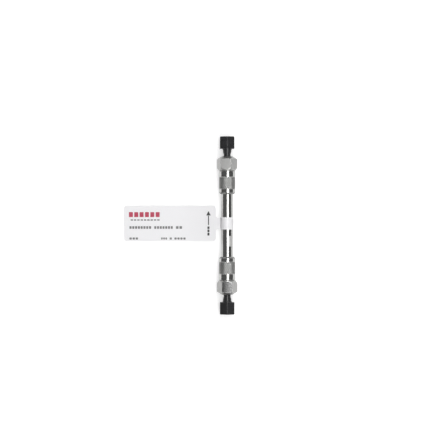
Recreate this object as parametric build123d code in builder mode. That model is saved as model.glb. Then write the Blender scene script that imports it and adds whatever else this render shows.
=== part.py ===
from build123d import *
import os
from math import cos, degrees, pi, radians, sin, tan

# Liquid chromatography column, 2.1 mm bore by 50 mm bed, lying on its side with a plug in each port.
#
# Millimetres. The origin is the middle of the tube, on its axis. +Y runs along the axis towards the
# outlet, +Z is up, and the label tag reaches out along -X.
#
# Both ends carry the same hardware. A distance called a station is measured from the middle of the
# column outwards along the axis, so one set of stations serves the outlet (+Y) and the inlet (-Y).

# ---------------------------------------------------------------- driving dimensions: tube and seals
tube_diameter = 6.35            # quarter-inch tube
bore_diameter = 2.1
bed_length = 50.0               # the tube is as long as its bed
seal_thickness = 1.6            # frit and the ring round it
frit_diameter = 3.2
seal_edge_gap = 0.05            # all round the seal, inside the fitting's nose

# ---------------------------------------------------------------- retaining ring
ring_groove_depth = 0.35
ring_width = 0.95
ring_stand_out = 0.55           # how far it stands out of the tube
ring_setback = 2.0              # from the tube's end to the ring
ring_groove_play = 0.02         # at each side of the ring in its groove
ring_mouth_angle = 50.0         # the open part of the C

# ---------------------------------------------------------------- coupling nut
nut_wall = 0.62                 # outside its thread
nut_length = 12.5
nut_rear_length = 5.2           # the part that runs on the tube, behind the ring
nut_running_gap = 0.05          # radial, on the tube
nut_thrust_gap = 0.02           # to the ring that it bears on
nut_front_chamfer = 0.35        # beside the fitting
nut_rear_chamfer = 0.8          # where it tapers down towards the tube
nut_mouth_chamfer = 0.2
knurl_length = 6.15
knurl_to_nut_end = 3.46         # plain band beside the fitting
knurl_relief = 0.02             # the crests stay under the plain bands by this
knurl_depth = 0.24
knurl_pitch = 1.15              # round the nut, from crest to crest
knurl_helix_angle = 30.0        # of both sets of grooves, from the axis

# ---------------------------------------------------------------- end fitting
hex_across_flats = 9.525        # three-eighths of an inch
hex_length = 7.68
hex_rear_chamfer_angle = 55.0   # from the round face beside the nut
hex_rear_crown_radius = 20.0    # both chamfers are turned slightly round
hex_front_face_radius = 2.9     # round face about the port
hex_front_chamfer_angle = 32.0
hex_front_crown_radius = 40.0
nut_to_hex_gap = 0.12
nose_wall = 0.6                 # round the tube's end and the seal
nose_overlap = 0.6              # how far the nose reaches over the tube's end
nose_tube_gap = 0.025           # radial, round the tube's end
nose_neck_depth = 0.25          # thread relief beside the hexagon
nose_neck_length = 0.7
thread_gap = 0.03               # radial, between threads in mesh
nose_chamfer = 0.3
outlet_hex_turn = 8.7           # degrees that the outlet's hexagon is turned from the inlet's

# ---------------------------------------------------------------- port, for a 10-32 coned fitting
port_thread_diameter = 4.83
port_thread_depth = 5.0
port_mouth_chamfer = 0.3
port_cone_diameter = 4.0
port_cone_half_angle = 20.0
port_pilot_diameter = 1.6
port_pilot_depth = 1.2
capillary_diameter = 0.5
spreader_diameter = 2.1         # shallow cone that spreads the flow over the frit
spreader_depth = 0.2

# ---------------------------------------------------------------- end plug
plug_head_across_flats = 7.8
plug_head_length = 6.55
plug_head_corner = 0.45
plug_head_chamfer = 0.35
plug_neck_length = 4.06         # bare length between the hexagon and the head
plug_neck_diameter = 3.75
plug_collar_diameter = 4.5
plug_collar_length = 0.7
plug_collar_taper = 1.2         # from the neck up to the collar
plug_flare_diameter = 5.2
plug_flare_length = 1.05        # from the collar up to the head
plug_thread_start = 0.35        # below the hexagon's face
plug_thread_length = 3.9
plug_lead = 0.3                 # tapered start of the thread
plug_shank_diameter = 3.5
plug_tip_diameter = 2.1
plug_seat_gap = 0.03            # to the port's cone

# ---------------------------------------------------------------- label tag
adhesive_thickness = 0.02       # between the loop and the tube
film_thickness = 0.2            # one layer: the tag is two layers stuck together
strap_length = 2.7              # from the loop round the tube to the tag
strap_width = 6.5
strap_fillet = 0.9
fold_fillet = 0.7               # where the two layers part to go round the tube
tag_length = 50.0
tag_width = 19.0
tag_corner = 1.5
tag_middle = 1.1                # along the tube, from the column's middle towards the outlet
tag_lean = 12.0                 # slope where the strap leaves the tube, down to the bench
tag_tip_lean = 2.0              # slope that is left at the free end
tag_bend_length = 20.0          # how much of the tag, next to the strap, takes up the change

# ---------------------------------------------------------------- stations worked out from the above
tube_radius = tube_diameter / 2
tube_end = bed_length / 2
fitting_seat = tube_end + seal_thickness

nose_bore_radius = tube_radius + nose_tube_gap
nose_radius = nose_bore_radius + nose_wall
nut_thread_radius = nose_radius + thread_gap
nut_radius = nut_thread_radius + nut_wall

ring_outer = tube_end - ring_setback
ring_inner = ring_outer - ring_width
ring_groove_radius = tube_radius - ring_groove_depth
ring_radius = tube_radius + ring_stand_out

nut_shoulder = ring_inner - nut_thrust_gap
nut_start = nut_shoulder - nut_rear_length
nut_end = nut_start + nut_length
knurl_end = nut_end - knurl_to_nut_end
knurl_start = knurl_end - knurl_length
knurl_crest_radius = nut_radius - knurl_relief
knurl_root_radius = knurl_crest_radius - knurl_depth
knurl_count = round(2 * pi * knurl_crest_radius / knurl_pitch)

hex_start = nut_end + nut_to_hex_gap
hex_end = hex_start + hex_length
hex_corner_radius = hex_across_flats / 2 / cos(radians(30))
nose_start = tube_end - nose_overlap

port_radius = port_thread_diameter / 2
port_cone_start = hex_end - port_thread_depth
port_cone_slope = tan(radians(port_cone_half_angle))
port_cone_length = (port_cone_diameter - port_pilot_diameter) / 2 / port_cone_slope
port_pilot_start = port_cone_start - port_cone_length
port_pilot_end = port_pilot_start - port_pilot_depth

plug_head_start = hex_end + plug_neck_length
plug_thread_top = hex_end - plug_thread_start
plug_thread_foot = plug_thread_top - plug_thread_length

outlet, inlet = 1, -1
ends = {"outlet": outlet, "inlet": inlet}
hex_turn = {outlet: -outlet_hex_turn, inlet: 0.0}


def half_plane(end):
    """The plane that turned profiles are drawn in: x is the radius and y the station."""
    return Plane(origin=(0, 0, 0), x_dir=(end, 0, 0), z_dir=(0, 0, 1))


def cross_plane(end, station):
    """The plane across the axis at a station, facing outwards from the column's middle."""
    return Plane(origin=(0, end * station, 0), x_dir=(end, 0, 0), z_dir=(0, end, 0))


def plug_cone_station(radius):
    """Where the plug's cone has this radius, when it sits in the port's cone with its seat gap."""
    return port_cone_start - (port_cone_diameter / 2 - radius - plug_seat_gap) / port_cone_slope


# ================================================================ tube and packed bed
with BuildPart() as column_tube:
    Cylinder(tube_radius, bed_length, rotation=(90, 0, 0))
    Cylinder(bore_diameter / 2, bed_length, rotation=(90, 0, 0), mode=Mode.SUBTRACT)
    for end in ends.values():
        with BuildSketch(half_plane(end)):
            with Locations((ring_groove_radius, ring_inner - ring_groove_play)):
                Rectangle(
                    2 * ring_groove_depth,
                    ring_width + 2 * ring_groove_play,
                    align=(Align.MIN, Align.MIN),
                )
        revolve(axis=Axis.Y, mode=Mode.SUBTRACT)

with BuildPart() as packed_bed:
    Cylinder(bore_diameter / 2, bed_length, rotation=(90, 0, 0))


# ================================================================ pieces that come once at each end
def make_retaining_ring(end):
    """C-shaped ring that snaps into the tube's groove and holds the coupling nut on the tube."""
    with BuildPart() as ring:
        with BuildSketch(cross_plane(end, ring_inner)):
            Circle(ring_radius)
            Circle(ring_groove_radius, mode=Mode.SUBTRACT)
            mouth_reach = 2 * ring_radius
            mouth_half_width = mouth_reach * tan(radians(ring_mouth_angle / 2))
            with BuildLine():
                Polyline(
                    (0, 0), (mouth_reach, mouth_half_width), (mouth_reach, -mouth_half_width), close=True
                )
            make_face(mode=Mode.SUBTRACT)
        extrude(amount=ring_width)
    return ring.part


def make_frit(end):
    """Porous disc that holds the packing in the tube."""
    with BuildPart() as frit:
        with BuildSketch(cross_plane(end, tube_end)):
            Circle(frit_diameter / 2)
        extrude(amount=seal_thickness)
    return frit.part


def make_frit_ring(end):
    """Plastic ring round the frit, squeezed between the tube and the end fitting."""
    with BuildPart() as ring:
        with BuildSketch(cross_plane(end, tube_end)):
            Circle(nose_bore_radius - seal_edge_gap)
            Circle(frit_diameter / 2, mode=Mode.SUBTRACT)
        extrude(amount=seal_thickness)
    return ring.part


def make_knurl():
    """Diamond knurl, standing on the XY plane: what two star-shaped bars, twisted opposite ways, share."""
    half_step = pi / knurl_count
    twist = degrees(knurl_length * tan(radians(knurl_helix_angle)) / knurl_crest_radius)
    corners = [
        (radius * cos(corner * half_step), radius * sin(corner * half_step))
        for corner, radius in enumerate([knurl_crest_radius, knurl_root_radius] * knurl_count)
    ]
    with BuildSketch() as star:
        with BuildLine():
            Polyline(*corners, close=True)
        make_face()
    bars = [
        Solid.extrude_linear_with_rotation(star.sketch.face(), (0, 0, 0), (0, 0, knurl_length), angle)
        for angle in (twist, -twist)
    ]
    with BuildPart() as knurl:
        add(bars[0])
        add(bars[1], mode=Mode.INTERSECT)
    return knurl.part


knurl = make_knurl()


def make_coupling_nut(end):
    """Round nut that turns on the tube, bears on the retaining ring and draws the fitting home."""
    running_radius = tube_radius + nut_running_gap
    core_radius = knurl_root_radius - knurl_relief
    core_shoulder = nut_radius - core_radius
    with BuildPart() as nut:
        # Two plain bands, and the core between them that the knurl stands on.
        with BuildSketch(half_plane(end)):
            with BuildLine():
                Polyline(
                    (0, nut_start),
                    (nut_radius - nut_rear_chamfer, nut_start),
                    (nut_radius, nut_start + nut_rear_chamfer),
                    (nut_radius, knurl_start - core_shoulder),
                    (core_radius, knurl_start),
                    (core_radius, knurl_end),
                    (nut_radius, knurl_end + core_shoulder),
                    (nut_radius, nut_end - nut_front_chamfer),
                    (nut_radius - nut_front_chamfer, nut_end),
                    (0, nut_end),
                    close=True,
                )
            make_face()
        revolve(axis=Axis.Y)
        with Locations(cross_plane(end, knurl_start)):
            add(knurl)
        # The bore: running fit on the tube, shoulder for the ring, then the thread.
        with BuildSketch(half_plane(end)):
            with BuildLine():
                Polyline(
                    (0, nut_start),
                    (running_radius, nut_start),
                    (running_radius, nut_shoulder),
                    (nut_thread_radius, nut_shoulder),
                    (nut_thread_radius, nut_end - nut_mouth_chamfer),
                    (nut_thread_radius + nut_mouth_chamfer, nut_end),
                    (0, nut_end),
                    close=True,
                )
            make_face()
        revolve(axis=Axis.Y, mode=Mode.SUBTRACT)
    return nut.part


def make_end_fitting(end):
    """Hexagonal end piece with a threaded nose inwards and a coned port outwards."""
    rear_slope = tan(radians(hex_rear_chamfer_angle))
    front_slope = tan(radians(hex_front_chamfer_angle))
    rear_foot = (hex_corner_radius, hex_start + (hex_corner_radius - nut_radius) * rear_slope)
    rear_rim = (nut_radius, hex_start)
    front_foot = (hex_corner_radius, hex_end - (hex_corner_radius - hex_front_face_radius) * front_slope)
    front_rim = (hex_front_face_radius, hex_end)
    neck_radius = nose_radius - nose_neck_depth
    with BuildPart() as fitting:
        with BuildSketch(cross_plane(end, hex_start)):
            RegularPolygon(hex_corner_radius, 6, rotation=hex_turn[end])
        extrude(amount=hex_length)
        # Both ends of the hexagon are turned down, steeply beside the nut.
        with BuildSketch(half_plane(end)):
            with BuildLine():
                Line(rear_foot, front_foot)
                RadiusArc(front_foot, front_rim, -hex_front_crown_radius)
                Polyline(front_rim, (0, hex_end), (0, hex_start), rear_rim)
                RadiusArc(rear_rim, rear_foot, -hex_rear_crown_radius)
            make_face()
        revolve(axis=Axis.Y, mode=Mode.INTERSECT)
        # The nose, with a relief beside the hexagon.
        with BuildSketch(half_plane(end)):
            with BuildLine():
                Polyline(
                    (0, nose_start),
                    (nose_radius - nose_chamfer, nose_start),
                    (nose_radius, nose_start + nose_chamfer),
                    (nose_radius, hex_start - nose_neck_length),
                    (neck_radius, hex_start - nose_neck_length + nose_neck_depth),
                    (neck_radius, hex_start),
                    (0, hex_start),
                    close=True,
                )
            make_face()
        revolve(axis=Axis.Y)
        # Everything that is bored out along the axis, from the seal's recess to the port's mouth.
        with BuildSketch(half_plane(end)):
            with BuildLine():
                Polyline(
                    (0, nose_start),
                    (nose_bore_radius, nose_start),
                    (nose_bore_radius, fitting_seat),
                    (spreader_diameter / 2, fitting_seat),
                    (capillary_diameter / 2, fitting_seat + spreader_depth),
                    (capillary_diameter / 2, port_pilot_end),
                    (port_pilot_diameter / 2, port_pilot_end),
                    (port_pilot_diameter / 2, port_pilot_start),
                    (port_cone_diameter / 2, port_cone_start),
                    (port_radius, port_cone_start),
                    (port_radius, hex_end - port_mouth_chamfer),
                    (port_radius + port_mouth_chamfer, hex_end),
                    (0, hex_end),
                    close=True,
                )
            make_face()
        revolve(axis=Axis.Y, mode=Mode.SUBTRACT)
    return fitting.part


def make_end_plug(end):
    """Moulded plug: a coned, threaded stem that fills the port, and a hexagonal head."""
    stem_radius = port_radius - thread_gap
    shank_radius = plug_shank_diameter / 2
    tip_radius = plug_tip_diameter / 2
    neck_radius = plug_neck_diameter / 2
    collar_radius = plug_collar_diameter / 2
    collar_top = plug_head_start - plug_flare_length
    collar_foot = collar_top - plug_collar_length
    with BuildPart() as plug:
        with BuildSketch(cross_plane(end, plug_head_start)):
            RegularPolygon(plug_head_across_flats / 2, 6, major_radius=False, rotation=30)
            fillet(vertices(), plug_head_corner)
        extrude(amount=plug_head_length)
        outermost = faces().sort_by(Axis.Y)[-1 if end == outlet else 0]
        chamfer(outermost.edges(), plug_head_chamfer)
        with BuildSketch(half_plane(end)):
            with BuildLine():
                Polyline(
                    (0, plug_cone_station(tip_radius)),
                    (tip_radius, plug_cone_station(tip_radius)),
                    (shank_radius, plug_cone_station(shank_radius)),
                    (shank_radius, plug_thread_foot - plug_lead),
                    (stem_radius, plug_thread_foot),
                    (stem_radius, plug_thread_top - plug_lead),
                    (neck_radius, plug_thread_top),
                    (neck_radius, collar_foot - plug_collar_taper),
                    (collar_radius, collar_foot),
                    (collar_radius, collar_top),
                    (plug_flare_diameter / 2, plug_head_start),
                    (0, plug_head_start),
                    close=True,
                )
            make_face()
        revolve(axis=Axis.Y)
    return plug.part


# ================================================================ label tag
# One film, folded round the tube and stuck to itself: a loop, a short strap and the tag, which
# leans down to the bench and levels out towards its free end.
loop_bore_radius = tube_radius + adhesive_thickness
loop_radius = loop_bore_radius + film_thickness
strap_foot_radius = loop_radius - film_thickness / 2
strap_foot = (-strap_foot_radius * cos(radians(tag_lean)), -strap_foot_radius * sin(radians(tag_lean)))
tag_bend = tag_lean - tag_tip_lean
with BuildPart() as label_tag:
    # The film seen from its edge.
    with BuildSketch(Plane.XZ.offset(-tag_middle - tag_width / 2)):
        with BuildLine():
            strap = PolarLine(strap_foot, strap_length + film_thickness / 2, 180 + tag_lean)
            bend = JernArc(strap @ 1, strap % 1, tag_bend_length / radians(tag_bend), -tag_bend)
            flat = PolarLine(bend @ 1, tag_length - tag_bend_length, 180 + tag_tip_lean)
        trace(line_width=2 * film_thickness)
    extrude(amount=tag_width)
    # Its outline from above: a tag with round corners, and the strap with fillets.
    tag_root, tag_tip = (strap @ 1).X, (flat @ 1).X
    with BuildSketch(Plane.XY.offset(-tube_diameter)):
        with Locations(((tag_root + tag_tip) / 2, tag_middle)):
            RectangleRounded(tag_root - tag_tip, tag_width, tag_corner)
        with Locations((tag_root - tag_corner, tag_middle)):
            Rectangle(tag_corner - tag_root, strap_width, align=(Align.MIN, Align.CENTER))
        fillet(
            vertices().filter_by_position(Axis.X, tag_root - film_thickness, tag_root + film_thickness)
            .sort_by_distance((tag_root, tag_middle))[:2],
            strap_fillet,
        )
    extrude(amount=2 * tube_diameter, mode=Mode.INTERSECT)
    # The loop round the tube, where the two layers part.
    with BuildSketch(Plane.XZ.offset(-tag_middle - strap_width / 2)):
        Circle(loop_radius)
        with BuildLine():
            PolarLine(strap_foot, strap_length, 180 + tag_lean)
        trace(line_width=2 * film_thickness)
        fillet(vertices().sort_by_distance(strap_foot)[:2], fold_fillet)
        Circle(loop_bore_radius, mode=Mode.SUBTRACT)
    extrude(amount=strap_width)


# ================================================================ files
single_pieces = {"column_tube": column_tube, "packed_bed": packed_bed, "label_tag": label_tag}
end_makers = {
    "retaining_ring": make_retaining_ring,
    "frit": make_frit,
    "frit_ring": make_frit_ring,
    "coupling_nut": make_coupling_nut,
    "end_fitting": make_end_fitting,
    "end_plug": make_end_plug,
}

pieces = {name: builder.part for name, builder in single_pieces.items()}
for end_name, end in ends.items():
    for kind, make in end_makers.items():
        pieces[f"{kind}_{end_name}"] = make(end)

os.makedirs("parts", exist_ok=True)
for name, piece in pieces.items():
    piece.label = name
    export_step(piece, f"parts/{name}.step")
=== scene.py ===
# %% [markdown]
# # A small chromatography column on a pale bench
# The object is a steel tube with a knurled nut and a hexagonal fitting at each end, a black plug
# in each port, and a white tag whose film is wrapped round the tube. The solids come ready made,
# in their right places, in metres. What is left is to give them the finish of the real thing,
# and to model what is too fine for the solids: the threads and the print.

# %% Load the solids
from math import cos, pi, radians, sin

import bpy
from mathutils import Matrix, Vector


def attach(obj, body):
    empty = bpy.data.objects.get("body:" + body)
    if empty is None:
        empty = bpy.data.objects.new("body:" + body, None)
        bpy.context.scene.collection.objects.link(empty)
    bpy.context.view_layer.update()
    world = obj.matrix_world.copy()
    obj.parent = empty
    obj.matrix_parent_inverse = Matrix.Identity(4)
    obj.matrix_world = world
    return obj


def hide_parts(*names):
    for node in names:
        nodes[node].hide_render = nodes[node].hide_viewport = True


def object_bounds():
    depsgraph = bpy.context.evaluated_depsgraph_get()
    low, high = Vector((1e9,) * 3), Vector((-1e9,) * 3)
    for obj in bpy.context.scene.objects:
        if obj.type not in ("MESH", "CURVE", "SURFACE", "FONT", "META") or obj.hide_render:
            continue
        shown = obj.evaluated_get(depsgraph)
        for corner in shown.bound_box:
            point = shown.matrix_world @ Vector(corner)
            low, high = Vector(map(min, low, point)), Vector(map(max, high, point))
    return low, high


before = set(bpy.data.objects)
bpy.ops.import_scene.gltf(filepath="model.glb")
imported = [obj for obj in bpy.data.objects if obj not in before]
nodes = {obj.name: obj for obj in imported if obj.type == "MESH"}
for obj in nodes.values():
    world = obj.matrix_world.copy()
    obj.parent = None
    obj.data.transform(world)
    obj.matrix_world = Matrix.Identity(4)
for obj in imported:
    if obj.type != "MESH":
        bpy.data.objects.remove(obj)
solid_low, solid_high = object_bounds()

print("solids:", ", ".join(sorted(nodes)))
print("size in mm:", [round((b - a) * 1000, 2) for a, b in zip(solid_low, solid_high)])

# %% [markdown]
# ## Sizes
# The solids were drawn in millimetres and Blender counts in metres, so each length below is
# written in millimetres and multiplied by MM. The column lies along Y. Its middle is the origin,
# the outlet is at +Y and the inlet at -Y. What is on an end is placed by its distance from the
# middle, which is the same for both ends, and by the end's sign.

# %% Sizes
MM = 0.001
ENDS = {"outlet": 1, "inlet": -1}
bench_height = solid_low.z
print("bench at z =", round(bench_height / MM, 4), "mm")

# %% [markdown]
# ## Building materials from nodes
# Every finish is a Principled shader. What is the same all over a piece is a number on the
# shader's own socket. What varies comes from other nodes that are linked to a socket. Adding
# and linking nodes takes several lines each time, so these helpers do it in one.

# %% Helpers for nodes
def new_material(name, **settings):
    """A material with one Principled shader. Values that are the same all over are set on it."""
    material = bpy.data.materials.new(name)
    material.use_nodes = True
    shader = material.node_tree.nodes["Principled BSDF"]
    for socket, value in settings.items():
        shader.inputs[socket.replace("_", " ")].default_value = value
    return material, material.node_tree, shader


def add_node(tree, kind, **inputs):
    """A node of that kind. An input, by name or as _number, is a value or another node's output."""
    node = tree.nodes.new(kind)
    for name, value in inputs.items():
        socket = node.inputs[int(name[1:]) if name[1:].isdigit() else name.replace("_", " ")]
        if isinstance(value, bpy.types.NodeSocket):
            tree.links.new(value, socket)
        else:
            socket.default_value = value
    return node


def feed(tree, node, **sources):
    """Links each source, another node's output, to the node's socket of that name."""
    for name, source in sources.items():
        tree.links.new(source, node.inputs[name.replace("_", " ")])


def maths(tree, operation, a, b=0.0, clamp=False):
    """The result of one operation on a and b. Clamped, it stays between 0 and 1."""
    node = add_node(tree, "ShaderNodeMath", _0=a, _1=b)
    node.operation, node.use_clamp = operation, clamp
    return node.outputs[0]


print("helpers:", ", ".join(f.__name__ for f in (new_material, add_node, feed, maths)))

# %% [markdown]
# ## Patterns
# No finish is perfectly even, so each has a pattern that changes its colour or roughness a
# little and moves its surface a little. It is read at Object coordinates. Each piece keeps its
# object at the origin, so these are metres from the middle of the column, and the pattern stays
# put on the metal when the part is turned or moved. An image wrapped round the piece would do
# too, but it needs unwrapping and blurs up close, and noise does neither.

# %% Helpers for patterns
noise_low, noise_high = 0.3, 0.7    # noise seldom leaves this range


def stretched_noise(tree, per_metre, detail=2.0):
    """Noise with its own scale along each axis. A lower one beside higher ones makes streaks."""
    coordinates = add_node(tree, "ShaderNodeTexCoord").outputs["Object"]
    mapping = add_node(tree, "ShaderNodeMapping", Vector=coordinates, Scale=per_metre)
    noise = add_node(tree, "ShaderNodeTexNoise", Vector=mapping.outputs[0], Scale=1.0,
                     Detail=detail)
    return noise.outputs["Fac"]


def spread(tree, noise, low, high):
    """Stretches noise over the range from low to high."""
    node = add_node(tree, "ShaderNodeMapRange", Value=noise, From_Min=noise_low,
                    From_Max=noise_high, To_Min=low, To_Max=high)
    return node.outputs[0]


def blend_colours(tree, share, first, second):
    """The first colour where share is 0, the second where it is 1. Each may be a node's output."""
    node = tree.nodes.new("ShaderNodeMix")
    node.data_type = "RGBA"
    tree.links.new(share, node.inputs["Factor"])
    for name, colour in (("A", first), ("B", second)):
        if isinstance(colour, bpy.types.NodeSocket):
            tree.links.new(colour, node.inputs[name])
        else:
            node.inputs[name].default_value = (*colour, 1)
    return node.outputs["Result"]


def relief(tree, shader, height, distance, strength=1.0):
    """Raises the surface by height times distance, in the shading alone."""
    bump = add_node(tree, "ShaderNodeBump", Height=height, Distance=distance, Strength=strength)
    feed(tree, shader, Normal=bump.outputs[0])
    return bump


print("helpers:", ", ".join(f.__name__ for f in (stretched_noise, spread, blend_colours, relief)))

# %% [markdown]
# ## Polished steel of the tube
# The tube is drawn and polished. It mirrors the lamp as one crisp white line and the dark room as
# bands on either side. Very fine scratches run round it, so the noise is stretched: thousands
# per metre along Y, and few across. They move the surface by less than a micrometre, which is
# enough to soften the line a little.

# %% Polished steel
polished_steel, tree, shader = new_material("polished_steel", Metallic=1.0)
turned_lines = stretched_noise(tree, (60, 9000, 60), detail=3)
clouds = stretched_noise(tree, (180, 120, 180))
smooth = maths(tree, "ADD", spread(tree, turned_lines, 0.07, 0.15),
               spread(tree, clouds, 0.0, 0.04))
relief(tree, shader, turned_lines, 0.0008 * MM)
print(polished_steel.name, len(tree.nodes), "nodes")

# %% [markdown]
# ## Etched patch on the tube
# On its upper right side the tube has a small patch where a marking is etched. It is left empty:
# only rougher and paler than the polish. It could be a thin plate on the tube, but an etching has
# no thickness, so it is a part of the finish. The patch is a box in space, made of one step for
# each side, soft along X and Y, and the steel inside the box gets the etched look.

# %% Etched patch
etched_x, etched_y = (0.7 * MM, 2.6 * MM), (-11.3 * MM, -5.6 * MM)
etched_z = (0.5 * MM, 3.3 * MM)
etched_roughness = 0.62


def object_xyz(tree):
    """The three Object coordinates, each as an output of its own."""
    coordinates = add_node(tree, "ShaderNodeTexCoord").outputs["Object"]
    return add_node(tree, "ShaderNodeSeparateXYZ", Vector=coordinates).outputs


def between(tree, value, low, high, soft):
    """1 where value lies between low and high, falling to 0 over soft at both sides."""
    rise = add_node(tree, "ShaderNodeMapRange", Value=value, From_Min=low - soft,
                    From_Max=low + soft)
    fall = add_node(tree, "ShaderNodeMapRange", Value=value, From_Min=high - soft,
                    From_Max=high + soft, To_Min=1.0, To_Max=0.0)
    return maths(tree, "MULTIPLY", rise.outputs[0], fall.outputs[0])


x, y, z = object_xyz(tree)
etched = maths(tree, "MULTIPLY", between(tree, x, *etched_x, soft=0.1 * MM),
               between(tree, y, *etched_y, soft=0.12 * MM))
etched = maths(tree, "MULTIPLY", etched, maths(tree, "GREATER_THAN", z, etched_z[0]))
etched = maths(tree, "MULTIPLY", etched, maths(tree, "LESS_THAN", z, etched_z[1]))
rough = maths(tree, "MAXIMUM", smooth, maths(tree, "MULTIPLY", etched, etched_roughness))
feed(tree, shader, Roughness=rough,
     Base_Color=blend_colours(tree, etched, (0.70, 0.70, 0.69), (0.80, 0.80, 0.79)))
print("etched patch of", [round((b - a) / MM, 1) for a, b in (etched_x, etched_y)], "mm")

# %% [markdown]
# ## Satin steel of the fittings
# The hexagonal fittings are turned from bar and left with the bar's satin flats. Their grain
# runs along the flats, and larger blotches are a little paler or darker. They are much rougher
# than the tube, so that each flat has one even grey and mirrors nothing clearly. The grain could
# be an image of brushed metal, but that repeats, and noise drawn out along Y doesn't.

# %% Satin steel
satin_steel, tree, shader = new_material("satin_steel", Metallic=1.0)
grain = stretched_noise(tree, (4200, 700, 4200), detail=4)
blotches = stretched_noise(tree, (900, 600, 900), detail=3)
plain = blend_colours(tree, blotches, (0.50, 0.50, 0.49), (0.65, 0.65, 0.64))
bump = relief(tree, shader, grain, 0.004 * MM)
print(satin_steel.name, len(tree.nodes), "nodes")

# %% [markdown]
# ## Blasted field on one flat
# The upper flat of the inlet's hexagon is blasted over nearly its whole face, where a marking
# would be. It is left empty: dull and peppered with small pits. Its grey is also painted darker
# towards one side, which is painted shade. Like the etched patch it is a box in space. This one
# starts just under the flat and is open above. The same material is on both fittings, and the
# box's place along Y keeps it to the inlet.

# %% Blasted field
across_flats = 9.525 * MM
hexagon_start, hexagon_end = 29.45 * MM, 37.13 * MM
# painted shade: the field's grey fades from dark to pale between these x
dark_end, pale_end = -2.0 * MM, 1.8 * MM    # the field fades from dark to pale between these x
field_x = (-2.85 * MM, 2.7 * MM)
field_y = (-hexagon_end + 0.5 * MM, -hexagon_start - 0.3 * MM)
field_depth = 0.25 * MM
field_roughness = 0.85

x, y, z = object_xyz(tree)
field = maths(tree, "MULTIPLY", between(tree, x, *field_x, soft=0.1 * MM),
              between(tree, y, *field_y, soft=0.15 * MM))
field = maths(tree, "MULTIPLY", field,
              maths(tree, "GREATER_THAN", z, across_flats / 2 - field_depth))
peppered = spread(tree, stretched_noise(tree, (1500, 1500, 1500), detail=3), 0.55, 1.25)
# Painted shade: the field's grey is darker towards -x and paler towards +x.
painted_shade_fade = add_node(tree, "ShaderNodeMapRange", Value=x, From_Min=dark_end, From_Max=pale_end,
                  To_Min=0.18, To_Max=0.62).outputs[0]
grey = maths(tree, "MULTIPLY", painted_shade_fade, peppered, clamp=True)
blasted = add_node(tree, "ShaderNodeCombineColor", Red=grey, Green=grey, Blue=grey).outputs[0]
skin_with_painted_shade = blend_colours(tree, field, plain, blasted)
satin = maths(tree, "MAXIMUM", spread(tree, grain, 0.36, 0.46),
              maths(tree, "MULTIPLY", field, field_roughness))
print("blasted field of", [round((b - a) / MM, 1) for a, b in (field_x, field_y)], "mm")

# %% [markdown]
# ## Worn edges of the hexagons
# A wrench and many hands round off the edges of a hexagon and polish them, so that they catch
# the lamp as thin bright lines. The edges could be bevelled in the mesh, but the Bevel node does
# it in the shading, and its normal also says where an edge is: away from edges it equals the
# true normal, and the further it leans from it, the nearer is the edge. The dot product of the
# two measures this, and turns the finish from satin into polish.

# %% Worn edges
hexagon_edge = 0.30 * MM
wear_starts, wear_full = 0.9995, 0.975      # dot products where the wear starts and is full
most_wear = 0.75
edge_roughness = 0.11


def round_edges(tree, bump, radius):
    """Rounds the shading of the edges, beneath the bump's own relief."""
    rounded = add_node(tree, "ShaderNodeBevel", Radius=radius).outputs[0]
    tree.links.new(rounded, bump.inputs["Normal"])
    return rounded


rounded = round_edges(tree, bump, hexagon_edge)
true_normal = add_node(tree, "ShaderNodeNewGeometry").outputs["Normal"]
lean = add_node(tree, "ShaderNodeVectorMath", _0=rounded, _1=true_normal)
lean.operation = "DOT_PRODUCT"
worn = add_node(tree, "ShaderNodeMapRange", Value=lean.outputs["Value"], From_Min=wear_starts,
                From_Max=wear_full, To_Max=most_wear).outputs[0]
dull = maths(tree, "MULTIPLY", satin, maths(tree, "SUBTRACT", 1.0, worn))
polish = maths(tree, "MULTIPLY", worn, edge_roughness)
feed(tree, shader, Roughness=maths(tree, "ADD", dull, polish),
     Base_Color=blend_colours(tree, worn, skin_with_painted_shade, (0.96, 0.96, 0.95)))
print(satin_steel.name, len(tree.nodes), "nodes with field and edges")

# %% [markdown]
# ## Steel of the coupling nuts
# Each nut is turned and polished like the tube, and keeps the finest lines of the turning. The
# short taper towards the tube is given a darker colour, which is painted shade. The solid has one
# slot, so plain steel, taper and knurl share a material, and the distance from the middle says
# which of them a point is on. It is the absolute value of Y, the same at both ends.

# %% Nut steel
nut_taper_end = 17.63 * MM

nut_steel, tree, shader = new_material("nut_steel", Metallic=1.0)
turned_lines = stretched_noise(tree, (60, 8000, 60), detail=3)
clouds = stretched_noise(tree, (200, 160, 200))
x, y, z = object_xyz(tree)
from_middle = maths(tree, "ABSOLUTE", y)
smooth = maths(tree, "ADD", spread(tree, turned_lines, 0.08, 0.15),
               spread(tree, clouds, 0.0, 0.05))
# Painted shade: the taper towards the tube gets a much darker steel colour.
painted_taper_shade = maths(tree, "LESS_THAN", from_middle, nut_taper_end)
steel_and_painted_taper_shade = blend_colours(tree, painted_taper_shade, (0.70, 0.70, 0.69), (0.30, 0.30, 0.295))
bump = relief(tree, shader, turned_lines, 0.0008 * MM)
print(nut_steel.name, len(tree.nodes), "nodes")

# %% [markdown]
# ## Colour of the knurl, with painted shade in its grooves
# The roll that presses the knurl leaves its diamonds dull. The diamonds are in the solid already.
# How deep a point lies in them is its distance from the axis, so that distance, from the grooves to
# the crests, blends the colour from dark to bright, and the dark in the grooves is painted shade.
# The knurl is the band between the two stations where it starts and ends.

# %% Knurl colour
knurl_start, knurl_end = 19.72 * MM, 25.87 * MM
knurl_root, knurl_crest = 4.19 * MM, 4.43 * MM

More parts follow.
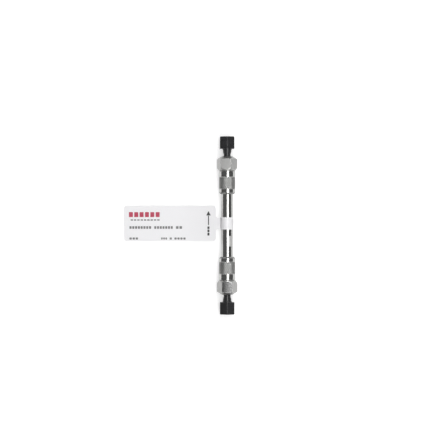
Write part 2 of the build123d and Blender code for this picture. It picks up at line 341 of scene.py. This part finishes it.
squares = maths(tree, "ADD", maths(tree, "MULTIPLY", x, x), maths(tree, "MULTIPLY", z, z))
crest = add_node(tree, "ShaderNodeMapRange", Value=maths(tree, "SQRT", squares),
                 From_Min=knurl_root, From_Max=knurl_crest).outputs[0]
knurled = between(tree, from_middle, knurl_start, knurl_end, soft=0.02 * MM)
rolled = spread(tree, stretched_noise(tree, (2600, 2600, 2600), detail=3), 0.40, 0.56)
dull = maths(tree, "MULTIPLY", knurled, rolled)
# Painted shade: the grooves of the knurl are coloured nearly black.
crests_and_painted_groove_shade = blend_colours(tree, crest, (0.14, 0.14, 0.138), (0.97, 0.97, 0.955))
feed(tree, shader, Roughness=maths(tree, "MAXIMUM", smooth, dull),
     Base_Color=blend_colours(tree, knurled, steel_and_painted_taper_shade, crests_and_painted_groove_shade))
print("knurl", round((knurl_crest - knurl_root) / MM, 2), "mm deep")

# %% [markdown]
# ## Worn crests of the knurl
# Pressed diamonds aren't sharp. Handling flattens their crests towards the round of the nut, so
# from some way off the band shines softly in its middle as a cylinder does. Rounding every
# diamond in the mesh would take many thousands of faces. Here the normal of a crest is blended
# with the outward direction of the round nut: the point's own place, without its Y, taken
# from the object's directions to the world's, so that it turns with the nut.

# %% Worn crests
knurl_edge = 0.14 * MM
crest_wear = 0.85

rounded = add_node(tree, "ShaderNodeBevel", Radius=knurl_edge).outputs[0]
place = add_node(tree, "ShaderNodeCombineXYZ", X=x, Z=z).outputs[0]
outward = add_node(tree, "ShaderNodeVectorTransform", Vector=place)
outward.vector_type, outward.convert_from, outward.convert_to = "NORMAL", "OBJECT", "WORLD"
wear = maths(tree, "MULTIPLY", maths(tree, "MULTIPLY", knurled, crest), crest_wear)
worn = add_node(tree, "ShaderNodeMix", Factor=wear)
worn.data_type = "VECTOR"
for source, socket in ((rounded, worn.inputs[4]), (outward.outputs[0], worn.inputs[5]),
                       (worn.outputs[1], bump.inputs["Normal"])):
    tree.links.new(source, socket)
print(nut_steel.name, len(tree.nodes), "nodes with the knurl")

# %% [markdown]
# ## Spring steel of the retaining rings
# A C-shaped ring sits in a groove of the tube at each end, and the nut bears on it. It is
# wound from spring wire, which is a darker grey than the tube and is drawn rather than polished,
# so its streaks run round it and it mirrors only softly. One noise does for both its colour
# and its roughness, because little of the ring can be seen.

# %% Spring steel
spring_steel, tree, shader = new_material("spring_steel", Metallic=1.0)
grain = stretched_noise(tree, (1500, 6000, 1500))
feed(tree, shader, Roughness=spread(tree, grain, 0.25, 0.4),
     Base_Color=blend_colours(tree, grain, (0.46, 0.46, 0.46), (0.56, 0.56, 0.55)))
print(spring_steel.name, len(tree.nodes), "nodes")

# %% [markdown]
# ## Sintered steel of the frits
# A frit is a disc of steel powder that is baked until its grains stick together, so that liquid
# passes and the packing stays. Its pores are too small and too many to model. Fine noise gives
# them a darker colour and a dent, and all of it is rough.

# %% Sintered steel
porous_steel, tree, shader = new_material("porous_steel", Metallic=1.0, Roughness=0.75)
pores = stretched_noise(tree, (9000, 9000, 9000), detail=4)
feed(tree, shader,
     Base_Color=blend_colours(tree, pores, (0.30, 0.29, 0.28), (0.55, 0.54, 0.52)))
relief(tree, shader, pores, 0.03 * MM)
print(porous_steel.name, len(tree.nodes), "nodes")

# %% [markdown]
# ## Plastic of the seal rings, and the packing
# The ring round each frit is of a hard, tan plastic that seals against steel. The packing is
# dry white powder with grains of a few micrometres. Neither is seen until the column is taken
# apart, so each has only a faint unevenness, and the powder a little relief.

# %% Seal plastic and packing
seal_plastic, tree, shader = new_material("seal_plastic", Roughness=0.45)
haze = stretched_noise(tree, (900, 900, 900))
feed(tree, shader,
     Base_Color=blend_colours(tree, haze, (0.62, 0.52, 0.36), (0.72, 0.62, 0.45)))
print(seal_plastic.name, len(tree.nodes), "nodes")

packing, tree, shader = new_material("packing", Roughness=0.95)
powder = stretched_noise(tree, (20000, 20000, 20000), detail=3)
feed(tree, shader,
     Base_Color=blend_colours(tree, powder, (0.80, 0.80, 0.78), (0.93, 0.93, 0.91)))
relief(tree, shader, powder, 0.02 * MM)
print(packing.name, len(tree.nodes), "nodes")

# %% [markdown]
# ## Black plastic of the plugs
# The plugs are moulded in an engineering plastic that is nearly black and has a satin sheen. A
# pure black would swallow the form, so it is a very dark grey. The mould leaves a fine grain, and
# handling leaves parts of it a little shinier. A mould has no sharp inner corners, so the plug's
# edges are soft, and the Bevel node softens them as it does the hexagon's.

# %% Black plastic
plug_edge = 0.50 * MM

plug_plastic, tree, shader = new_material("plug_plastic", Specular_IOR_Level=0.5)
mould_grain = stretched_noise(tree, (5000, 5000, 5000), detail=3)
handling = stretched_noise(tree, (260, 260, 260))
sheen = maths(tree, "ADD", spread(tree, mould_grain, 0.20, 0.26),
              spread(tree, handling, 0.0, 0.08))
feed(tree, shader, Roughness=sheen,
     Base_Color=blend_colours(tree, handling, (0.020, 0.020, 0.021), (0.033, 0.033, 0.035)))
bump = relief(tree, shader, mould_grain, 0.006 * MM)
round_edges(tree, bump, plug_edge)
print(plug_plastic.name, len(tree.nodes), "nodes")

# %% [markdown]
# ## White film of the tag
# The tag is plastic film with a clear overlaminate: white, a little shiny, and not perfectly
# flat. The overlaminate is the shader's Coat, a second smooth skin over the first. A weak, broad
# noise in the bump gives the faint unevenness that film has.

# %% White film
label_film, tree, shader = new_material("label_film", Coat_Weight=0.35, Coat_Roughness=0.12)
waves = stretched_noise(tree, (70, 70, 70))
fibres = stretched_noise(tree, (3000, 3000, 3000))
feed(tree, shader, Roughness=spread(tree, waves, 0.38, 0.46),
     Base_Color=blend_colours(tree, fibres, (0.85, 0.845, 0.86), (0.88, 0.875, 0.89)))
relief(tree, shader, waves, 0.15 * MM, strength=0.6)
print(label_film.name, len(tree.nodes), "nodes")

# %% [markdown]
# ## Finishes on the solids
# A solid comes with the slots of its own material. The shape is right, so nothing is remodelled:
# each slot is only handed the finish that was made above. The pieces of the two ends differ in
# name by the end alone, so one table serves both.

# %% Put the finishes on the solids
finish_of = {"column_tube": polished_steel, "packed_bed": packing, "label_tag": label_film}
for end in ENDS:
    finish_of.update({
        f"retaining_ring_{end}": spring_steel, f"frit_{end}": porous_steel,
        f"frit_ring_{end}": seal_plastic, f"coupling_nut_{end}": nut_steel,
        f"end_fitting_{end}": satin_steel, f"end_plug_{end}": plug_plastic})
for name, material in finish_of.items():
    piece = nodes[name]
    for place in piece.material_slots:
        place.material = material
    if not piece.material_slots:
        piece.data.materials.append(material)
print(len(finish_of), "solids have their finish")

# %% [markdown]
# ## Shaping a piece
# The threads start from copies of the solids. An operator acts on all that is selected, so each
# job first selects its one piece. A modifier is added with its settings and applied at once, so
# that the finished shape is in the mesh. A solid's triangles are loose, and a Boolean modifier
# needs them joined, so the corners that lie in one place are merged first.

# %% Helpers for shaping a piece
same_place = 0.001 * MM     # corners this near to each other are one


def only(piece):
    """Selects that piece alone and makes it active."""
    bpy.ops.object.select_all(action="DESELECT")
    piece.select_set(True)
    bpy.context.view_layer.objects.active = piece


def edit_all(operate):
    """Calls operate in edit mode with the whole active mesh selected."""
    bpy.ops.object.mode_set(mode="EDIT")
    bpy.ops.mesh.select_all(action="SELECT")
    operate()
    bpy.ops.object.mode_set(mode="OBJECT")


def apply_modifier(piece, kind, **settings):
    only(piece)
    modifier = piece.modifiers.new(kind.lower(), kind)
    for name, value in settings.items():
        setattr(modifier, name, value)
    bpy.ops.object.modifier_apply(modifier=modifier.name)


def copy_of_solid(node, name):
    """A new piece with a solid's shape, in one joined mesh."""
    piece = bpy.data.objects.new(name, nodes[node].data.copy())
    bpy.context.collection.objects.link(piece)
    only(piece)
    edit_all(lambda: bpy.ops.mesh.remove_doubles(threshold=same_place))
    if piece.data.has_custom_normals:
        bpy.ops.mesh.customdata_custom_splitnormals_clear()
    return piece


print("helpers:", ", ".join(f.__name__ for f in (only, edit_all, apply_modifier, copy_of_solid)))

# %% [markdown]
# ## Threading tool
# The solids have plain cylinders where the real parts have threads. A thread that can be seen
# when the column is taken apart is cut here: on the plug's stem, in the port that it screws
# into, and on the fitting's nose. It is made as on a lathe. A pointed tool follows a helix and
# leaves a V-shaped groove. The tool's path is a coil with a triangular section, made by the
# Screw modifier, and a Boolean modifier takes it away from the piece. A groove drawn in the
# finish would be quicker, but its outline would stay smooth. The coil is turned about Z, then
# laid along Y. Both ends get the same turn of the screw, right-handed, because laying it down
# is a rotation and never a mirror image.

# %% Helpers for cutting a thread
overlap = 0.08 * MM         # how far the coil stands out of the surface that it cuts
steps_a_turn = 48


def close_coil():
    """Closes the coil's two ends and turns all its faces outwards."""
    bpy.ops.mesh.fill_holes(sides=3)
    bpy.ops.mesh.normals_make_consistent(inside=False)


def groove_tool(radius, depth, pitch, start, end, sign, outwards=False):
    """The coil that a pointed tool sweeps. Its point lies depth beneath the surface at radius."""
    corner = (depth + overlap) / 1.5    # a triangle is one and a half radii high
    side = 1 if outwards else -1
    bpy.ops.object.select_all(action="DESELECT")
    bpy.ops.mesh.primitive_circle_add(
        vertices=3, radius=corner, location=(radius + side * (depth - corner), 0, start),
        rotation=(pi / 2, side * pi / 2, 0))
    tool = bpy.context.object
    bpy.ops.object.transform_apply()
    apply_modifier(tool, "SCREW", screw_offset=pitch, iterations=round((end - start) / pitch),
                   steps=steps_a_turn, render_steps=steps_a_turn, use_merge_vertices=False)
    edit_all(close_coil)
    tool.rotation_euler = (-sign * pi / 2, 0, 0)
    bpy.ops.object.transform_apply()
    return tool


def cut_thread(piece, **groove):
    tool = groove_tool(**groove)
    apply_modifier(piece, "BOOLEAN", object=tool, operation="DIFFERENCE", solver="EXACT")
    bpy.data.objects.remove(tool)
    print(piece.name, "has", len(piece.data.polygons), "faces after its thread is cut")


print("coil with", steps_a_turn, "steps a turn,", round(overlap / MM, 2), "mm of overlap")

# %% [markdown]
# ## Threads of the plugs, the ports and the noses
# Stem and port have one pitch, because the one screws into the other. The nose has the pitch of
# the nut that draws it home. A coil starts before its cylinder and ends past it, so that the
# first and the last turn run out into the air or into the undercut. Only the port's starts
# short of the port's floor, as a tap would. The new pieces stand for the plug and the fitting
# of their end and ride with them. They get the same finish, and faces that meet at more than
# 25 degrees keep a sharp edge between them.

# %% Sizes of the threads
port_radius, port_floor = 2.415 * MM, 32.13 * MM
stem_radius = 2.385 * MM
stem_start, stem_end = 32.88 * MM, 36.78 * MM
nose_radius = 3.80 * MM
nose_start, nose_neck = 24.40 * MM, 28.75 * MM
port_pitch, nose_pitch = 0.794 * MM, 0.75 * MM
stem_depth, port_depth, nose_depth = 0.42 * MM, 0.36 * MM, 0.36 * MM
before_stem, past_stem = 0.8 * MM, 0.3 * MM
before_nose, past_nose = 0.6 * MM, 0.15 * MM
short_of_floor, past_port = 0.5 * MM, 0.4 * MM
print("stem and port", round(port_pitch / MM, 3), "mm a turn, nose", round(nose_pitch / MM, 3))

# %% Cut the threads
sharp_angle = radians(25)

for end, sign in ENDS.items():
    plug = copy_of_solid(f"end_plug_{end}", f"threaded_plug_{end}")
    cut_thread(plug, radius=stem_radius, depth=stem_depth, pitch=port_pitch, sign=sign,
               start=stem_start - before_stem, end=stem_end + past_stem)
    fitting = copy_of_solid(f"end_fitting_{end}", f"threaded_fitting_{end}")
    cut_thread(fitting, radius=nose_radius, depth=nose_depth, pitch=nose_pitch, sign=sign,
               start=nose_start - before_nose, end=nose_neck + past_nose)
    cut_thread(fitting, radius=port_radius, depth=port_depth, pitch=port_pitch, sign=sign,
               start=port_floor + short_of_floor, end=hexagon_end + past_port, outwards=True)
    for piece, node, body, slot, finish in (
            (plug, f"end_plug_{end}", f"{end}_plug", "plug_plastic", plug_plastic),
            (fitting, f"end_fitting_{end}", f"{end}_fitting", "satin_steel", satin_steel)):
        only(piece)
        bpy.ops.object.shade_smooth_by_angle(angle=sharp_angle)
        piece.data.materials.clear()
        piece.data.materials.append(finish)
        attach(piece, body)
        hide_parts(node)

# %% [markdown]
# ## Inks
# The tag is printed on its upper face in crimson, grey and black. Ink is duller than the film
# under it. A press lays it down as a fine screen of dots, so its tone is not quite even. One
# helper makes all three, because they differ only in their numbers.

# %% Inks
def new_ink(name, roughness, dark, light):
    """An ink whose tone varies between two colours over the dots of its screen."""
    ink, tree, shader = new_material(name, Roughness=roughness)
    screen = stretched_noise(tree, (2500, 2500, 2500))
    feed(tree, shader, Base_Color=blend_colours(tree, screen, dark, light))
    return ink


crimson_ink = new_ink("crimson_ink", 0.42, (0.42, 0.035, 0.075), (0.50, 0.06, 0.11))
grey_ink = new_ink("grey_ink", 0.45, (0.13, 0.13, 0.13), (0.21, 0.21, 0.21))
black_ink = new_ink("black_ink", 0.42, (0.035, 0.035, 0.036), (0.06, 0.06, 0.06))
print("inks:", crimson_ink.name, grey_ink.name, black_ink.name)

# %% [markdown]
# ## Laying print on the tag
# The tag is bent, and a flat mark would sink into it. So a mark is made flat above the tag, and
# the Shrinkwrap modifier drops it straight down on to the film. Solidify then gives it the
# thickness of a layer of ink. Print could be a part of the film's finish instead, but then each
# mark would need its own place worked out in nodes, and a mesh is easier to move and to see.

# %% Helper for print
drop_height = 8 * MM        # well above the tag
ink_gap = 0.004 * MM        # keeps the ink's underside out of the film
ink_thickness = 0.012 * MM


def print_on_tag(mark, ink):
    """Drops a flat mark on to the tag and gives it the ink's thickness and colour."""
    apply_modifier(mark, "SHRINKWRAP", target=nodes["label_tag"], wrap_method="PROJECT",
                   use_project_z=True, use_negative_direction=True,
                   use_positive_direction=False, offset=ink_gap)
    apply_modifier(mark, "SOLIDIFY", thickness=ink_thickness, offset=1.0)
    mark.data.materials.append(ink)
    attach(mark, "column")
    print(mark.name, "printed in", ink.name)


print("ink", round(ink_thickness / MM, 3), "mm thick")

# %% [markdown]
# ## Rows of dashes
# The part has no maker, so each word on the tag is only a row of plain dashes of about its
# length and tone. A dash starts as a grid, because a plain rectangle has no corners between
# its ends and couldn't follow the bend. Its four corners are found by their place and rounded
# off, and the Array modifier repeats it along the row.

# %% Helper for a row of dashes
grid_step = 0.8             # mm between the grid's lines, or nearly
gap_share = 0.25            # of the distance from one dash to the next
corner_round = 0.2          # mm


def ink_row(name, left, right, low, high, ink, count=1):
    """A row of count dashes between those x and y, in millimetres."""
    pitch = (right - left) / (count - gap_share)
    length = (1 - gap_share) * pitch
    bpy.ops.object.select_all(action="DESELECT")
    bpy.ops.mesh.primitive_grid_add(x_subdivisions=max(2, round(length / grid_step)),
                                    y_subdivisions=2, size=1)
    row = bpy.context.object
    row.name = name
    row.scale = (length * MM, (high - low) * MM, 1)
    row.location = ((left + length / 2) * MM, (low + high) / 2 * MM, drop_height)
    bpy.ops.object.transform_apply()
    bpy.ops.object.mode_set(mode="EDIT")
    bpy.ops.mesh.select_mode(type="VERT")
    bpy.ops.mesh.select_all(action="DESELECT")
    bpy.ops.object.mode_set(mode="OBJECT")
    xs, ys = [v.co.x for v in row.data.vertices], [v.co.y for v in row.data.vertices]
    for corner in row.data.vertices:
        corner.select = corner.co.x in (min(xs), max(xs)) and corner.co.y in (min(ys), max(ys))
    bpy.ops.object.mode_set(mode="EDIT")
    bpy.ops.mesh.bevel(affect="VERTICES", segments=3,
                       offset=min(corner_round, length / 4, (high - low) / 4) * MM)
    bpy.ops.object.mode_set(mode="OBJECT")
    apply_modifier(row, "ARRAY", count=count, use_relative_offset=False,
                   use_constant_offset=True, constant_offset_displace=(pitch * MM, 0, 0))
    print_on_tag(row, ink)


print("a dash is rounded by", corner_round, "mm")

# %% [markdown]
# ## The words' places
# A title in large crimson dashes has a line of grey ones under it. Then come a row of three
# words in the middle, small print along the lower edge, and three black dashes in line with the
# flow arrow. A table suits them, because only the numbers differ: left, right, low and high in
# millimetres, the ink, and how many dashes.

# %% Dashes in place of the words
rows = {
    "title_row": (-53.0, -36.4, 4.5, 7.2, crimson_ink, 6),
    "subtitle_row": (-52.1, -36.4, 2.6, 3.3, grey_ink, 9),
    "text_row_1": (-52.7, -41.0, -1.8, -0.4, grey_ink, 8),
    "text_row_2": (-39.3, -29.3, -1.8, -0.4, grey_ink, 7),
    "text_row_3": (-27.6, -24.3, -1.8, -0.4, grey_ink, 2),
    "small_row_1": (-52.7, -48.1, -7.6, -6.5, grey_ink, 3),
    "small_row_2": (-35.6, -32.4, -7.6, -6.5, grey_ink, 3),
    "small_row_3": (-31.0, -29.8, -7.6, -6.5, grey_ink, 1),
    "small_row_4": (-28.4, -22.4, -7.6, -6.5, grey_ink, 4),
    "side_row_1": (-10.6, -9.5, -1.9, -0.5, black_ink, 1),
    "side_row_2": (-10.6, -9.5, -3.6, -2.2, black_ink, 1),
    "side_row_3": (-10.6, -9.5, -5.4, -3.9, black_ink, 1),
}
for name, place in rows.items():
    ink_row(name, *place)
print(len(rows), "rows printed")

# %% [markdown]
# ## Flow arrow
# The arrow says which way the liquid runs, from the inlet to the outlet. Its shaft is one long
# dash. Its head is a circle with three corners, which is a triangle that points along Y. It is
# made a little narrower, and its points are rounded off as ink rounds them.

# %% Flow arrow
shaft_left, shaft_right, shaft_low, shaft_high = -10.32, -9.76, 0.2, 5.3
head_place = ((shaft_left + shaft_right) / 2 * MM, 6.2 * MM, drop_height)
head_radius, head_width, head_round = 1.6 * MM, 0.85, 0.12 * MM

ink_row("arrow_shaft", shaft_left, shaft_right, shaft_low, shaft_high, black_ink)
bpy.ops.object.select_all(action="DESELECT")
bpy.ops.mesh.primitive_circle_add(vertices=3, radius=head_radius, fill_type="NGON",
                                  location=head_place)
arrow_head = bpy.context.object
arrow_head.name = "arrow_head"
arrow_head.scale = (head_width, 1.0, 1.0)
bpy.ops.object.transform_apply()
edit_all(lambda: bpy.ops.mesh.bevel(affect="VERTICES", offset=head_round, segments=2))
print_on_tag(arrow_head, black_ink)

# %% [markdown]
# ## Bench
# The bench is seen pure white, but it still takes the shadow. It is plain white stuff plus a
# glow that only the camera, mirrors and clear things see. The glow comes from Light Path, so
# no lamp has to be turned up to bleach the bench, and the object is lit at a plain level.

# %% Bench
bench_side = 3.0            # metres
seen_glow, mirrored_glow = 0.62, 0.29


def seen_share(tree, path):
    """1 for what the camera sees, straight or through something clear, and 0 for light."""
    return maths(tree, "MAXIMUM", path.outputs["Is Camera Ray"],
                 path.outputs["Is Transmission Ray"])


bpy.ops.object.select_all(action="DESELECT")
bpy.ops.mesh.primitive_plane_add(size=bench_side, location=(0, 0, bench_height))
bench = bpy.context.object
bench.name = "bench"
bench_white, tree, shader = new_material("bench_white", Roughness=0.9, Specular_IOR_Level=0.0,
                                         Base_Color=(0.55, 0.55, 0.55, 1))
path = add_node(tree, "ShaderNodeLightPath")
seen = maths(tree, "MULTIPLY", seen_share(tree, path), seen_glow)
mirrored = maths(tree, "MULTIPLY", path.outputs["Is Glossy Ray"], mirrored_glow)
glow = add_node(tree, "ShaderNodeEmission", Color=(1, 1, 1, 1),
                Strength=maths(tree, "MAXIMUM", seen, mirrored))
both = add_node(tree, "ShaderNodeAddShader", _0=shader.outputs[0], _1=glow.outputs[0])
feed(tree, tree.nodes["Material Output"], Surface=both.outputs[0])
bench.data.materials.append(bench_white)
print("bench", [round(side, 2) for side in bench.dimensions], "m")

# %% [markdown]
# ## Room
# Polished metal looks like what is round it. In a dark room the tube shows dark bands with
# crisp edges, and in a white one it would look like chalk. So the room gives little light, and
# only the camera sees it white, as it does the bench.

# %% Room, dark all round
room_light, seen_white = 0.10, 0.90

world = bpy.data.worlds.new("room")
bpy.context.scene.world = world
world.use_nodes = True
tree = world.node_tree
backdrop = tree.nodes["Background"]
backdrop.inputs["Color"].default_value = (1, 1, 1, 1)
path = add_node(tree, "ShaderNodeLightPath")
seen = maths(tree, "MULTIPLY", seen_share(tree, path), seen_white)
feed(tree, backdrop, Strength=maths(tree, "ADD", seen, room_light))
print("room lights with", room_light, "and is seen at", room_light + seen_white)

# %% [markdown]
# ## Lamps
# One long lamp hangs overhead along the column, a little to the right, and makes the white line
# on the tube: a wider lamp gives a wider line. A soft lamp stands beyond each end. A round tube
# doesn't mirror those to someone who looks down on it, but the slopes of the hexagons and of the
# nuts do. A lamp's energy is worked out from how bright its face looks, so that its size can
# be changed and what it looks like in the steel stays.

# %% Lamps
def add_lamp(name, position, width, length, radiance):
    """A rectangular lamp that faces the middle. Radiance is how bright its face looks."""
    light = bpy.data.lights.new(name, "AREA")
    light.shape, light.size, light.size_y = "RECTANGLE", width, length
    light.energy = radiance * pi * width * length
    lamp = bpy.data.objects.new(name, light)
    bpy.context.collection.objects.link(lamp)
    lamp.location = position
    lamp.rotation_euler = lamp.location.to_track_quat("Z", "X").to_euler()
    print(name, width, "x", length, "m,", round(light.energy, 1), "W")


lamp_lean, lamp_distance = radians(10.5), 1.2
overhead = (lamp_distance * sin(lamp_lean), 0, lamp_distance * cos(lamp_lean))
add_lamp("strip_lamp", overhead, width=0.44, length=2.6, radiance=5.0)
for end, sign in ENDS.items():
    add_lamp(f"{end}_fill", (0.25, sign * 1.5, 1.0), width=1.2, length=0.9, radiance=1.7)

# %% [markdown]
# ## Camera
# The camera looks straight down. It has a long lens and stands well off, so that the two ends
# of the column are seen almost as squarely as its middle. It is a little to the left, because
# the tag reaches out to that side.

# %% Camera
lens_mm, sensor_mm = 135.0, 36.0
camera_place = (-3.84 * MM, 2.94 * MM, 886 * MM)
nearest, furthest = 0.01, 10        # metres

camera = bpy.data.cameras.new("camera")
camera.lens, camera.sensor_width = lens_mm, sensor_mm
camera.clip_start, camera.clip_end = nearest, furthest
eye = bpy.data.objects.new("camera", camera)
bpy.context.collection.objects.link(eye)
eye.location = camera_place
bpy.context.scene.camera = eye
bpy.context.scene.view_settings.view_transform = "Standard"
print("camera", round(camera_place[2], 3), "m above the column's axis")
